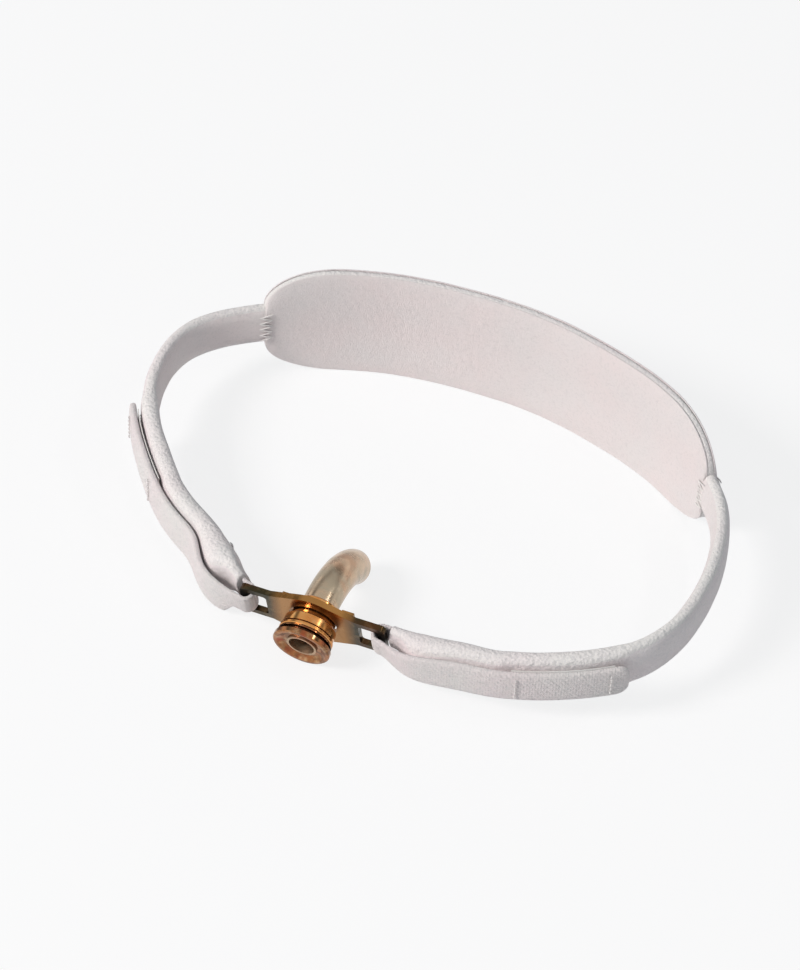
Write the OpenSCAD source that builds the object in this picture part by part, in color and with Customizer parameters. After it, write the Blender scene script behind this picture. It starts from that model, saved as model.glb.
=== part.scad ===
// Tracheostomy tube held by a padded neck band.
// The soft band stands on edge as an open ring. A wide pad is at its back, and
// its two narrow straps run forward to a metal neck plate. Thin tapes sewn into
// the straps go through the plate's slots and fold back outside as hook tabs.
// A short curved tube swings on two small screws in the plate, and an inner
// tube with its own collar draws out of it along the same curve.
// The origin is the middle of the neck plate, on the axis of the airway.
// +X runs along the plate, -Y points out of the tube's front, +Z is up.

/* [Neck plate] */
// Width of the plate from end to end
plate_w = 38.6; // [36:0.2:46]
// Height of the plate at its middle
plate_h = 18.5; // [17:0.5:22]
// Thickness of the plate
plate_t = 1.6; // [1.2:0.1:2]
// Width of the bar outside each slot
bar_w = 2; // [1.6:0.1:2.6]
// Width of each slot
slot_w = 5; // [4:0.2:5.6]
// Height of each slot
slot_h = 8; // [6.8:0.2:8.4]
// Height of the rail above and below each slot
rail_h = 1.7; // [1:0.1:2]
// Angle by which plate and tube lean, front end down
lean = 18; // [6:1:24]

/* [Tubes] */
// Outside radius of the outer tube
tube_r = 4.6; // [4.2:0.1:4.8]
// Wall of the outer tube
tube_wall = 0.55; // [0.4:0.05:0.8]
// Wall of the inner tube
inner_wall = 0.6; // [0.4:0.05:0.9]
// Radius of the curve that both tubes follow
bend_r = 25; // [24:1:40]
// Angle of the curve
bend_deg = 60; // [40:1:80]
// Length of the inner tube past the end of the outer one
inner_past = 1.2; // [0:0.2:3]

/* [Collars] */
// Radius of the outer tube's drum in front of the plate
drum_r = 6.8; // [6.6:0.1:7.2]
// Length of the drum
drum_l = 3.8; // [3.4:0.1:4.6]
// Wall of the drum's neck where it goes through the plate
neck_wall = 1; // [0.8:0.1:1.3]
// Radius of the rim at the front
rim_r = 7.5; // [7.3:0.1:8]
// Length of the rim
rim_l = 1.6; // [1.2:0.1:2.4]
// Length of the groove behind the rim
groove_l = 0.7; // [0.4:0.1:1.2]
// Radius of the two pivot screws
screw_r = 0.8; // [0.6:0.05:0.9]
// Swing of the tube each way in the plate
swing = 8; // [0:1:8]

/* [Pad] */
// Length of the pad along the band
pad_l = 142; // [120:1:160]
// Height of the pad
pad_h = 33; // [28:1:40]
// Thickness of the pad's foam at its crown
foam_t = 3.6; // [2.5:0.1:6]
// Thickness of the lining and of the cover
skin_t = 0.8; // [0.5:0.1:1.2]
// Length over which each end of the pad rounds off
pad_round = 20; // [12:1:30]

/* [Straps] */
// Height of the foam straps
strap_h = 12; // [10.4:0.2:15]
// Thickness of the foam straps
strap_t = 4.6; // [3.6:0.1:5.4]
// Length from the left slot to the pad
left_l = 119; // [105:1:130]
// Thickness of the tapes
tape_t = 1.3; // [0.9:0.1:1.6]
// Thickness of the tabs, which are thicker than the tapes they are sewn to
tab_t = 2; // [1.4:0.1:2.6]
// How far the left tab bows out near its fold
left_bow = 3; // [2:0.1:4]
// How far the right tab bows out near its fold
right_bow = 1.8; // [1.6:0.1:3]
// Height of the left tab
left_tab_h = 10.4; // [8:0.2:11.4]
// Height of the right tab
right_tab_h = 8.8; // [8:0.2:10.4]
// Length of the left tab
left_tab_l = 68; // [50:1:90]
// Length of the right tab
right_tab_l = 60; // [50:1:90]
// Length of the hook patch under each tab's end
hook_l = 24; // [12:1:36]
// Thickness of the hook patches
hook_t = 0.8; // [0.5:0.1:1.2]

/* [Hidden] */
$fn = 64;

// Clearances
tube_gap = 0.1;       // between the inner and the outer tube
seat_gap = 0.1;       // between the two collars' faces
air = 0.3;            // between a soft piece and what it lies against
skin_gap = 0.05;      // between the layers of the pad
seam_gap = 0.1;       // under a row of stitching
seam_t = 0.4;         // how far a row of stitching stands up
pin_gap = 0.05;       // between a pivot screw and its lug
slot_play = 0.5;      // above and below a tape in its slot

// Plate
wing_h = slot_h + 2 * rail_h;
bar_x = (plate_w - bar_w) / 2;
slot_x = plate_w / 2 - bar_w - slot_w / 2;
wing_x = slot_x - slot_w / 2 - 1;
corner_r = 1.6;

// Tubes, with distances measured forward from the plate's middle
inner_r = tube_r - tube_wall - tube_gap;
bore_r = inner_r - inner_wall;
tangent = 1.2;        // the straight run ends this far behind the plate's middle
seam_turn = 68;       // each tube's drawn seam lies off the plane of the bend
pivot_back = plate_t / 2 + screw_r + 0.3;
neck_r = tube_r + 0.12 + neck_wall;
neck_back = pivot_back + screw_r + 0.5;
hole_r = neck_r + (pivot_back + plate_t / 2) * sin(swing) + 0.25;
drum_f = ((pivot_back + plate_t / 2 + air) + drum_r * sin(swing)) / cos(swing) - pivot_back;
seat_f = drum_f + drum_l;
chamber_r = inner_r + sag(seat_f) + air;
throat_r = inner_r + sag(drum_f + 0.4) + 0.15;
flange_f = seat_f + seat_gap;
groove_f = flange_f + 0.6;
rim_f = groove_f + groove_l;
front_f = rim_f + rim_l;
lug_w = 3.2;
head_l = 0.7;

// Drop of the shared curve at a distance forward of the plate's middle
function sag(f) = pow(f + tangent, 2) / (2 * bend_r);

// The ring rests on the pad's lower edge and the rim's lowest point
floor_z = -(front_f * sin(lean) + rim_r * cos(lean));
pad_z = floor_z + pad_h / 2;
rise_run = 100;       // the band climbs to the pad's middle over this length
lean_run = 22;        // the band turns upright over this length

// Tapes and tabs
tape_h = slot_h - 2 * slot_play;
loop_r = norm([bar_w / 2, plate_t / 2]) + air + tape_t / 2;
tape_in = 16;         // length of tape under each strap's end
tip_s = 3;            // the foam starts this far from the bar
tip_t = 1.8;          // thickness of the foam at its start
tip_full = 4.2;       // thickness of the foam where it lies on the tape
bow_run = 26;         // the tab lies flat again this far from its fold
tab_off = strap_t / 2 + air + hook_t + skin_gap + tab_t / 2;
left_flare = 2.4;     // extra height of the left tab near its fold
tab_round = 2.5;

// Plan of the ring: points on the band's middle line, clockwise from the left
// slot, with a guide point inside each bar that makes the band leave straight.
ring_points = [
    [-32.7, 13], [-49.8, 25.2], [-67.8, 50.3], [-69, 76], [-51, 94], [-22, 106], [12, 108],
    [39, 102], [63, 90], [82, 69], [87.2, 39], [78.8, 14.6], [50, 0.8]
];
plan = concat([[-bar_x + 8, loop_r], [-bar_x, loop_r]], ring_points,
    [[bar_x, loop_r], [bar_x - 8, loop_r]]);

// A smooth curve through the plan's points
function smooth_point(p, t) =
    0.5 * (2 * p[1] + (p[2] - p[0]) * t
        + (2 * p[0] - 5 * p[1] + 4 * p[2] - p[3]) * t * t
        + (3 * p[1] - p[0] - 3 * p[2] + p[3]) * t * t * t);
fine = [for (i = [0 : len(plan) - 4], k = [0 : 15])
    smooth_point([plan[i], plan[i + 1], plan[i + 2], plan[i + 3]], k / 16)];
steps = [for (i = [0 : len(fine) - 2]) norm(fine[i + 1] - fine[i])];
run = [for (i = 0, s = 0; i < len(fine); s = s + (i < len(steps) ? steps[i] : 0), i = i + 1) s];
ring_l = run[len(run) - 1];
along_x = [for (i = [0 : len(fine) - 1]) [run[i], fine[i].x]];
along_y = [for (i = [0 : len(fine) - 1]) [run[i], fine[i].y]];
right_l = ring_l - left_l - pad_l;

// Helpers: ease runs from 0 to 1, mix goes between two values
function clip(t) = min(1, max(0, t));
function ease(t) = clip(t) * clip(t) * (3 - 2 * clip(t));
function mix(a, b, t) = a + (b - a) * t;
function unit(v) = v / norm(v);
function to_end(s) = min(s, ring_l - s);

// Frame of the band at a distance along it: middle point, outward, up
function plan_at(s) = [lookup(s, along_x), lookup(s, along_y)];
function lean_at(s) = lean * (1 - ease(to_end(s) / lean_run));
function band_frame(s) =
    let (p = plan_at(s), d = unit(plan_at(s + 1.5) - plan_at(s - 1.5)))
    let (a = lean_at(s), n = [-d.y, d.x, 0])
    [[p.x, p.y * cos(a), p.y * sin(a) + pad_z * ease(to_end(s) / rise_run)],
     n * cos(a) - [0, 0, sin(a)],
     n * sin(a) + [0, 0, cos(a)]];

// Frame on the turn of a tape round a bar, at an angle from the slot side
function turn_frame(side, a) =
    let (n = [side * cos(a), -sin(a), 0])
    let (p = [side * bar_x, 0, 0] - loop_r * n)
    [[p.x, p.y * cos(lean), p.y * sin(lean)],
     [n.x, n.y * cos(lean), n.y * sin(lean)],
     [0, -sin(lean), cos(lean)]];

// A soft band: frames with, for each, [height, shift up, inner, outer, edge].
// Inner and outer are distances from the middle line, and edge is the share
// of the thickness that is left at the rounded edges.
across = 7;
function bulge(q, edge) = edge + (1 - edge) * (1 - pow(abs(q), 4));
function ring_of(f, w) =
    let (mid = (w[2] + w[3]) / 2, half = (w[3] - w[2]) / 2)
    concat(
        [for (j = [0 : across - 1]) let (q = -cos(180 * j / (across - 1)))
            f[0] + f[1] * (mid + half * bulge(q, w[4])) + f[2] * (w[1] + q * w[0] / 2)],
        [for (j = [across - 1 : -1 : 0]) let (q = -cos(180 * j / (across - 1)))
            f[0] + f[1] * (mid - half * bulge(q, w[4])) + f[2] * (w[1] + q * w[0] / 2)]);
module soft_band(frames, shape) {
    m = 2 * across;
    k = len(frames) - 1;
    points = [for (i = [0 : k]) each ring_of(frames[i], shape[i])];
    walls = [for (i = [0 : k - 1], j = [0 : m - 1])
        let (a = i * m + j, b = i * m + (j + 1) % m)
        each [[a, b, b + m], [a, b + m, a + m]]];
    caps = [for (j = [0 : across - 2])
        each [[j, m - 1 - j, m - 2 - j], [j, m - 2 - j, j + 1]]];
    ends = [for (c = caps) each [c, [for (v = [2, 1, 0]) c[v] + k * m]]];
    polyhedron(points = points, faces = concat(walls, ends));
}

// Evenly spaced distances from a to b, at most d apart
function spread(a, b, d) =
    let (n = max(1, ceil((b - a) / d))) [for (i = [0 : n]) mix(a, b, i / n)];

// Pad
pad_a = left_l;
pad_b = left_l + pad_l;
pad_steps = concat(
    [for (a = [0 : 18 : 72]) pad_a + pad_round * (1 - cos(a))],
    spread(pad_a + pad_round, pad_b - pad_round, 8),
    [for (a = [72 : -18 : 0]) pad_b - pad_round * (1 - cos(a))]);
function pad_in(s) = clip(min(s - pad_a, pad_b - s) / pad_round);
function pad_height(s) = mix(strap_h, pad_h, sqrt(1 - pow(1 - pad_in(s), 2)));
function pad_foam(s) = mix(strap_t - 2 * skin_t - 2 * skin_gap, foam_t, pad_in(s));

// The pad's layers, from the neck side outward
module pad_layer(inner, outer, edge) {
    frames = [for (s = pad_steps) band_frame(s)];
    soft_band(frames, [for (s = pad_steps)
        [pad_height(s), 0, inner(pad_foam(s) / 2), outer(pad_foam(s) / 2), edge]]);
}

module pad_core() {
    color("ivory")
        pad_layer(function (h) -h, function (h) h, 0.62);
}

// The skins follow the foam's own bulge, so they lie close to it all over
module pad_skin(side) {
    m = 2 * across;
    function skin_ring(s) =
        let (f = band_frame(s), half = pad_foam(s) / 2, h = pad_height(s))
        let (q = [for (j = [0 : across - 1]) -cos(180 * j / (across - 1))])
        let (low = [for (v = q) half * bulge(v, 0.62) + skin_gap])
        let (high = [for (i = [0 : across - 1]) low[i] + skin_t * bulge(q[i], 0.5)])
        let (a = side > 0 ? high : -low, b = side > 0 ? low : -high)
        concat(
            [for (j = [0 : across - 1]) f[0] + f[1] * a[j] + f[2] * (q[j] * h / 2)],
            [for (j = [across - 1 : -1 : 0]) f[0] + f[1] * b[j] + f[2] * (q[j] * h / 2)]);
    k = len(pad_steps) - 1;
    points = [for (s = pad_steps) each skin_ring(s)];
    walls = [for (i = [0 : k - 1], j = [0 : m - 1])
        let (a = i * m + j, b = i * m + (j + 1) % m)
        each [[a, b, b + m], [a, b + m, a + m]]];
    caps = [for (j = [0 : across - 2])
        each [[j, m - 1 - j, m - 2 - j], [j, m - 2 - j, j + 1]]];
    ends = [for (c = caps) each [c, [for (v = [2, 1, 0]) c[v] + k * m]]];
    polyhedron(points = points, faces = concat(walls, ends));
}

module pad_lining() {
    color("linen") pad_skin(-1);
}

module pad_cover() {
    color("white") pad_skin(1);
}

// The two sides: [tab length, bow, tab height, drop, flare, length over which
// the tab widens, length over which the strap does]
left = [left_tab_l, left_bow, left_tab_h, 0.9, left_flare, 4.5, 7];
right = [right_tab_l, right_bow, right_tab_h, 0.3, 0, 11, 22];

// Middle and half thickness of a tab, d from its bar
function tab_mid(d, bow) = mix(2 * loop_r, tab_off, ease(d / 18))
    + bow * pow(sin(180 * pow(clip(d / bow_run), 0.7)), 2);
function tab_half(d) = mix(tape_t, tab_t, ease((d - 1) / 7)) / 2;

// Straps: full foam section, on the outside of the tape where that is sewn on
function strap_shape(d, side) =
    let (t = ease((d - tape_in - 0.5) / 10), on_tape = tape_t / 2 + skin_gap)
    let (tip = on_tape + mix(tip_t, tip_full, ease((d - tip_s) / 8)))
    let (room = d < bow_run ? tab_mid(d, side[1]) - tab_half(d) - air : strap_t)
    [mix(tape_h + 0.8, strap_h, ease((d + 1) / side[6])), 0,
     mix(on_tape, -strap_t / 2, t), min(mix(tip, strap_t / 2, t), room), 0.55];

module left_strap() {
    ss = concat(spread(tip_s, tape_in + 0.5, 2.7), spread(tape_in + 3, tape_in + 10.5, 2.5),
        spread(tape_in + 16, left_l - skin_gap, 6));
    color("white")
        soft_band([for (s = ss) band_frame(s)], [for (s = ss) strap_shape(s, left)]);
}

module right_strap() {
    dd = concat(spread(tip_s, tape_in + 0.5, 2.7), spread(tape_in + 3, tape_in + 10.5, 2.5),
        spread(tape_in + 16, right_l - skin_gap, 6));
    ss = [for (i = [len(dd) - 1 : -1 : 0]) ring_l - dd[i]];
    color("white")
        soft_band([for (s = ss) band_frame(s)], [for (s = ss) strap_shape(ring_l - s, right)]);
}

// A short raised seam on the band, from a to b along it
module seam(a, b, h, inner, outer) {
    ss = spread(a, b, 1.5);
    soft_band([for (s = ss) band_frame(s)], [for (s = ss) [h, 0, inner, outer, 0.5]]);
}

// Zigzag seams that join a strap to the pad, one on each face
module root_stitch(s) {
    h = strap_h - 3;
    color("whitesmoke") {
        seam(s - 2, s + 2, h, strap_t / 2 + seam_gap, strap_t / 2 + seam_gap + seam_t);
        seam(s - 2, s + 2, h, -strap_t / 2 - seam_gap - seam_t, -strap_t / 2 - seam_gap);
    }
}

module left_root_stitch() {
    root_stitch(pad_a);
}

module right_root_stitch() {
    root_stitch(pad_b);
}

// Tapes: from under the strap's end, behind the bar and round it to the front
tape_shape = [tape_h, 0, -tape_t / 2, tape_t / 2, 0.6];
turn_end = 4;         // the turn stops this many degrees short of the front

module left_loop_tape() {
    turn = [for (a = [turn_end - 90 : (90 - turn_end) / 6 : 80]) turn_frame(-1, a)];
    leaf = [for (s = spread(0, tape_in, 4)) band_frame(s)];
    frames = concat(turn, leaf);
    color("white") soft_band(frames, [for (f = frames) tape_shape]);
}

module right_loop_tape() {
    turn = [for (a = [80 : -(90 - turn_end) / 6 : turn_end - 90]) turn_frame(1, a)];
    leaf = [for (s = spread(ring_l - tape_in, ring_l, 4)) band_frame(s)];
    frames = concat(leaf, turn);
    color("white") soft_band(frames, [for (f = frames) tape_shape]);
}

// Bar tacks that hold a tape to its strap
module tape_stitch(s) {
    color("whitesmoke")
        seam(s - 1, s + 1, tape_h - 1.4, -tape_t / 2 - seam_gap - seam_t, -tape_t / 2 - seam_gap);
}

module left_tape_stitch() {
    tape_stitch(tape_in - 3);
}

module right_tape_stitch() {
    tape_stitch(ring_l - tape_in + 3);
}

// Tabs: the tapes' ends, folded back along the outside of the straps.
// d is the distance from the bar, and length is the tab's own.
function tab_shape(d, side) =
    let (w = ease((d - 0.8) / side[5]), flare = side[4] * (1 - ease((d - 6) / 16)))
    let (k = clip((d - side[0] + tab_round) / tab_round))
    let (h = mix(tape_h, side[2] + flare, w) - 2 * tab_round * (1 - sqrt(1 - k * k)))
    let (m = tab_mid(d, side[1]))
    [h, -(side[3] + flare / 2) * w, m - tab_half(d), m + tab_half(d), 0.6];
function tab_steps(side) = concat(
    spread(air, bow_run, 2.2), spread(bow_run + 5, side[0] - tab_round, 5),
    [for (k = [0.5, 0.8, 0.96]) side[0] - tab_round + k * tab_round]);
function hook_shape(side) =
    [side[2] - 1.4, -side[3],
     tab_off - tab_t / 2 - skin_gap - hook_t, tab_off - tab_t / 2 - skin_gap, 0.7];
function thread_shape(side) =
    [side[2] - 2.2, -side[3], tab_off + tab_t / 2 + seam_gap,
        tab_off + tab_t / 2 + seam_gap + seam_t, 0.5];

module on_left(dd, shape) {
    soft_band([for (d = dd) band_frame(d)], shape);
}

module on_right(dd, shape) {
    back = [for (i = [len(dd) - 1 : -1 : 0]) i];
    soft_band([for (i = back) band_frame(ring_l - dd[i])], [for (i = back) shape[i]]);
}

module left_tab() {
    dd = tab_steps(left);
    color("white") on_left(dd, [for (d = dd) tab_shape(d, left)]);
}

module right_tab() {
    dd = tab_steps(right);
    color("white") on_right(dd, [for (d = dd) tab_shape(d, right)]);
}

function hook_steps(side) = spread(side[0] - hook_l - 3, side[0] - 3, 5);

module left_hook_patch() {
    dd = hook_steps(left);
    color("gainsboro") on_left(dd, [for (d = dd) hook_shape(left)]);
}

module right_hook_patch() {
    dd = hook_steps(right);
    color("gainsboro") on_right(dd, [for (d = dd) hook_shape(right)]);
}

// Two rows of stitching across a tab, over the ends of its hook patch
function thread_rows(side) =
    [for (d = [side[0] - hook_l - 2, side[0] - 4.6]) spread(d, d + 0.8, 0.8)];

module left_tab_stitch() {
    color("whitesmoke")
        for (dd = thread_rows(left)) on_left(dd, [for (d = dd) thread_shape(left)]);
}

module right_tab_stitch() {
    color("whitesmoke")
        for (dd = thread_rows(right)) on_right(dd, [for (d = dd) thread_shape(right)]);
}

// Metal pieces are drawn upright and then leaned with the plate
module leaned() {
    rotate([lean, 0, 0]) children();
}

// Turns a profile of [radius, distance forward] round the airway's axis
module turned() {
    rotate([90, 0, 0]) rotate_extrude() children();
}

// A straight cylinder from f0 to f1 forward of the plate's middle
module drill(r, f0, f1) {
    translate([0, -f0, 0]) rotate([90, 0, 0]) cylinder(r = r, h = f1 - f0);
}

// A cylinder along X from x0 to x1, on the pivot axis
module cross_pin(r, x0, x1) {
    translate([x0, pivot_back, 0]) rotate([0, 90, 0]) cylinder(r = r, h = x1 - x0);
}

module rounded_rect(w, h, r) {
    square([w - 2 * r, h], center = true);
    square([w, h - 2 * r], center = true);
    for (x = [-1, 1], y = [-1, 1])
        translate([x * (w / 2 - r), y * (h / 2 - r)]) circle(r = r);
}

// Shoulders that run straight from the round middle to the wings
module shoulders() {
    tip = [wing_x, wing_h / 2];
    a = atan2(tip.y, tip.x) + acos(plate_h / 2 / norm(tip));
    t = plate_h / 2 * [cos(a), sin(a)];
    polygon([tip, t, [-t.x, t.y], [-tip.x, tip.y],
        [-tip.x, -tip.y], [-t.x, -t.y], [t.x, -t.y], [tip.x, -tip.y]]);
}

module neck_plate() {
    color("peru") leaned() difference() {
        union() {
            rotate([90, 0, 0]) translate([0, 0, -plate_t / 2]) linear_extrude(plate_t) difference() {
                union() {
                    circle(r = plate_h / 2);
                    shoulders();
                    rounded_rect(plate_w, wing_h, corner_r);
                }
                for (x = [-1, 1]) translate([x * slot_x, 0]) rounded_rect(slot_w, slot_h, 0.8);
            }
            for (x = [-1, 1]) translate([x * (hole_r + lug_w / 2), (neck_back + plate_t / 2) / 2, 0])
                cube([lug_w, neck_back - plate_t / 2 + 0.4, 4.4], center = true);
        }
        drill(hole_r, -neck_back - 2, plate_t);
        for (x = [-1, 1]) mirror([x < 0 ? 1 : 0, 0, 0])
            cross_pin(screw_r + pin_gap, hole_r - 1, hole_r + lug_w + 1);
    }
}

// The shared curve, swept by a ring of the given radii
module curve(r_out, r_in, deg) {
    translate([0, tangent, -bend_r]) rotate([0, -90, 0])
        rotate_extrude(angle = deg) translate([bend_r, 0]) rotate(seam_turn) difference() {
            circle(r = r_out);
            circle(r = r_in);
        }
}

module outer_tube() {
    color("rosybrown") leaned() {
        curve(tube_r, tube_r - tube_wall, bend_deg);
        rotate([0, seam_turn - 90, 0]) difference() {
            drill(tube_r, -tangent, 0.2);
            drill(tube_r - tube_wall, -tangent - 1, 1);
        }
    }
}

module tube_collar() {
    color("chocolate") leaned() difference() {
        turned() polygon([
            [throat_r, 0.25], [tube_r + 0.12, 0.25], [tube_r + 0.12, -neck_back],
            [neck_r - 0.3, -neck_back], [neck_r, -neck_back + 0.3],
            [neck_r, drum_f], [drum_r - 0.4, drum_f], [drum_r, drum_f + 0.4],
            [drum_r, seat_f - 1.3], [drum_r - 0.35, seat_f - 1.15],
            [drum_r - 0.35, seat_f - 0.85], [drum_r + 0.3, seat_f - 0.7],
            [drum_r + 0.3, seat_f - 0.2], [drum_r + 0.1, seat_f],
            [chamber_r, seat_f], [chamber_r, drum_f + 0.9], [throat_r, drum_f + 0.4]
        ]);
        for (x = [0, 1]) mirror([x, 0, 0])
            cross_pin(screw_r, neck_r - 0.75, neck_r + 1);
    }
}

module pivot_screws() {
    color("darkgoldenrod") leaned() for (x = [0, 1]) mirror([x, 0, 0]) difference() {
        union() {
            cross_pin(screw_r, neck_r - 0.65, hole_r + lug_w + 0.1);
            cross_pin(screw_r + 0.25, hole_r + lug_w + 0.1, hole_r + lug_w + 0.1 + head_l);
        }
        translate([hole_r + lug_w + head_l, pivot_back, 0]) cube([0.6, 3, 0.35], center = true);
    }
}

module inner_tube() {
    color("sienna") leaned() {
        curve(inner_r, bore_r, bend_deg + inner_past / bend_r * 180 / PI);
        rotate([0, seam_turn - 90, 0]) difference() {
            drill(inner_r, -tangent, front_f - 0.5);
            drill(bore_r, -tangent - 1, front_f);
        }
    }
}

module inner_collar() {
    grip = inner_r + 0.02;
    spigot = chamber_r - 0.35;
    color("peru") leaned() turned() polygon([
        [grip, flange_f - 0.9], [spigot - 0.2, flange_f - 0.9], [spigot, flange_f - 0.7],
        [spigot, flange_f], [rim_r - 0.6, flange_f], [rim_r - 0.4, flange_f + 0.2],
        [rim_r - 0.4, groove_f - 0.1], [rim_r - 1.2, groove_f], [rim_r - 1.2, rim_f],
        [rim_r - 0.3, rim_f], [rim_r, rim_f + 0.25], [rim_r, front_f - 0.3],
        [rim_r - 0.3, front_f], [rim_r - 1, front_f], [rim_r - 1.3, front_f - 0.25],
        [rim_r - 2.4, front_f - 1], [grip, front_f - 1]
    ]);
}

pad_core();
pad_lining();
pad_cover();
left_strap();
right_strap();
left_root_stitch();
right_root_stitch();
left_loop_tape();
right_loop_tape();
left_tape_stitch();
right_tape_stitch();
neck_plate();
outer_tube();
tube_collar();
pivot_screws();
inner_tube();
inner_collar();
left_tab();
left_hook_patch();
left_tab_stitch();
right_tab();
right_hook_patch();
right_tab_stitch();
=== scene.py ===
# %% [markdown]
# # A tracheostomy tube in its padded neck band
#
# This lesson dresses a finished mechanical model. The metal pieces already
# have their true shapes, so they stay and only get better finishes. The soft
# pieces are plain solids that hold the space, so each one is made again here
# as real foam, napped cloth, woven tape and thread.

# %% Load the frame
import math

import bmesh
import bpy
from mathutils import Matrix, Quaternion, Vector, noise
from mathutils.bvhtree import BVHTree


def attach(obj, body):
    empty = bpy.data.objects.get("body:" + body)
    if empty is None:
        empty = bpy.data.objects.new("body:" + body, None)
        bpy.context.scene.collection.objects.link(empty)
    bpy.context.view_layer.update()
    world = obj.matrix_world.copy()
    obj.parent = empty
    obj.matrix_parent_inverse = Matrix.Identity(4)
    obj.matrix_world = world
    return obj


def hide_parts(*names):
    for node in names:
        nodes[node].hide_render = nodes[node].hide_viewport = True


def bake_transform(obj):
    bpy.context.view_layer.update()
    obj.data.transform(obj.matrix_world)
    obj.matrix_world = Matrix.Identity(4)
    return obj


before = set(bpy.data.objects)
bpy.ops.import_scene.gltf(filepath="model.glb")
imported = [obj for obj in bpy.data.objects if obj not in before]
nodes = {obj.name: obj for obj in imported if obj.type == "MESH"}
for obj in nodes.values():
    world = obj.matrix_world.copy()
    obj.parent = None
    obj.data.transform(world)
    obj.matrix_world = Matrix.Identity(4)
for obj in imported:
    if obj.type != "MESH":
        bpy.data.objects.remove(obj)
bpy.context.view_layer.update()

MM = 0.001

# Without a seed the noise would differ from run to run
NOISE_SEED = 7
noise.seed_set(NOISE_SEED)
print("nodes in the frame:", len(nodes))

# %% [markdown]
# ## Camera, floor and light
#
# The object is a ring that lies on its lower edge, seen from above and a
# little from the right. A long lens keeps the far pad and the near plate at
# one scale. The camera is aimed at the middle of the ring and tipped by a
# few degrees, as a hand-held camera would be.

# %% Camera
CAMERA_AT = Vector((223.4, -568.7, 599.8))
LOOKS_AT = Vector((3.3, 47.9, 6.0))
CAMERA_ROLL = 3.37
LENS, SENSOR = 155.9, 36.0

scene = bpy.context.scene
camera = bpy.data.objects.new("camera", bpy.data.cameras.new("camera"))
scene.collection.objects.link(camera)
camera.data.lens = LENS
camera.data.sensor_width = SENSOR
camera.data.sensor_fit = "HORIZONTAL"
camera.data.clip_start = 0.01
camera.location = CAMERA_AT * MM
aim = (LOOKS_AT - CAMERA_AT).to_track_quat("-Z", "Y")
camera.rotation_mode = "QUATERNION"
camera.rotation_quaternion = aim @ Quaternion((0, 0, 1), math.radians(CAMERA_ROLL))
scene.camera = camera
scene.view_settings.view_transform = "Standard"
print("camera distance:", round((LOOKS_AT - CAMERA_AT).length), "mm")

# %% [markdown]
# Shader nodes are easier to read when each one is added in a single line
# with its values and its links. Every material below is built with these two
# small helpers: one for nodes, and one for the sockets of a shared group.


# %% Node helpers
def add(tree, kind, values=None, links=None, **fields):
    """Adds a shader node, sets its fields and values, and links its inputs."""
    node = tree.nodes.new("ShaderNode" + kind)
    for field, value in fields.items():
        setattr(node, field, value)
    for socket, value in (values or {}).items():
        node.inputs[socket].default_value = value
    for socket, source in (links or {}).items():
        tree.links.new(source, node.inputs[socket])
    return node


def new_group(name, inputs, outputs):
    """A shader node group with named inputs and outputs."""
    tree = bpy.data.node_groups.new(name, "ShaderNodeTree")
    for title, kind, value in inputs:
        socket = tree.interface.new_socket(
            name=title, in_out="INPUT", socket_type="NodeSocket" + kind)
        socket.default_value = value
    for title, kind in outputs:
        tree.interface.new_socket(
            name=title, in_out="OUTPUT", socket_type="NodeSocket" + kind)
    return tree, tree.nodes.new("NodeGroupInput"), tree.nodes.new("NodeGroupOutput")


def rgb(r, g, b):
    return (r, g, b, 1.0)


def feed(tree, node, inputs):
    """Gives numbered inputs their values, or links them to sockets."""
    for i, value in inputs:
        if isinstance(value, (int, float, tuple)):
            node.inputs[i].default_value = value
        elif value is not None:
            tree.links.new(value, node.inputs[i])


def maths(tree, operation, a, b=None):
    """One Math node; a and b are numbers or sockets."""
    node = add(tree, "Math", operation=operation)
    feed(tree, node, ((0, a), (1, b)))
    return node.outputs[0]


def mix_colour(tree, factor, a, b):
    """One colour Mix node; factor, a and b are values or sockets."""
    node = add(tree, "Mix", data_type="RGBA")
    feed(tree, node, ((0, factor), (6, a), (7, b)))
    return node.outputs[2]


print("node helpers are ready")


# %% [markdown]
# The object stands on a plain white table. The floor is nearly white to the
# camera and to mirror-like metal, but it still takes a soft shadow, so it is
# part a lit surface and part a plain white. The backdrop is white round the
# horizon and pale overhead, with a darker band between, where a studio's walls
# meet its ceiling. Polished metal needs that band as something dark to reflect.

# %% Floor and surroundings
FLOOR_Z = -9.88
FLOOR_SIZE = 1800.0
FLOOR_WHITE = 0.8    # share of the floor that shows as plain white
SKY = 0.34           # strength of the soft light from all round
# Rise above the horizon, and the backdrop's brightness there
CEILING = ((0.0, 1.0), (0.34, 1.0), (0.48, 0.25), (0.6, 0.18), (0.72, 0.8), (1.0, 0.8))


def light_path_mask(tree):
    """1 for rays from the camera, in a mirror or through glass."""
    path = add(tree, "LightPath")
    seen = maths(tree, "MAXIMUM", path.outputs["Is Camera Ray"], path.outputs["Is Glossy Ray"])
    return maths(tree, "MAXIMUM", seen, path.outputs["Is Transmission Ray"])


def floor_material():
    material = bpy.data.materials.new("floor_white")
    material.use_nodes = True
    tree = material.node_tree
    tree.nodes.clear()
    lit = add(tree, "BsdfDiffuse", {"Color": rgb(0.86, 0.86, 0.87)})
    white = add(tree, "Emission", {"Color": rgb(1, 1, 1), "Strength": 1.0})
    amount = maths(tree, "MULTIPLY", light_path_mask(tree), FLOOR_WHITE)
    both = add(tree, "MixShader", None,
               {0: amount, 1: lit.outputs[0], 2: white.outputs[0]})
    add(tree, "OutputMaterial", None, {"Surface": both.outputs[0]})
    return material


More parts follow.
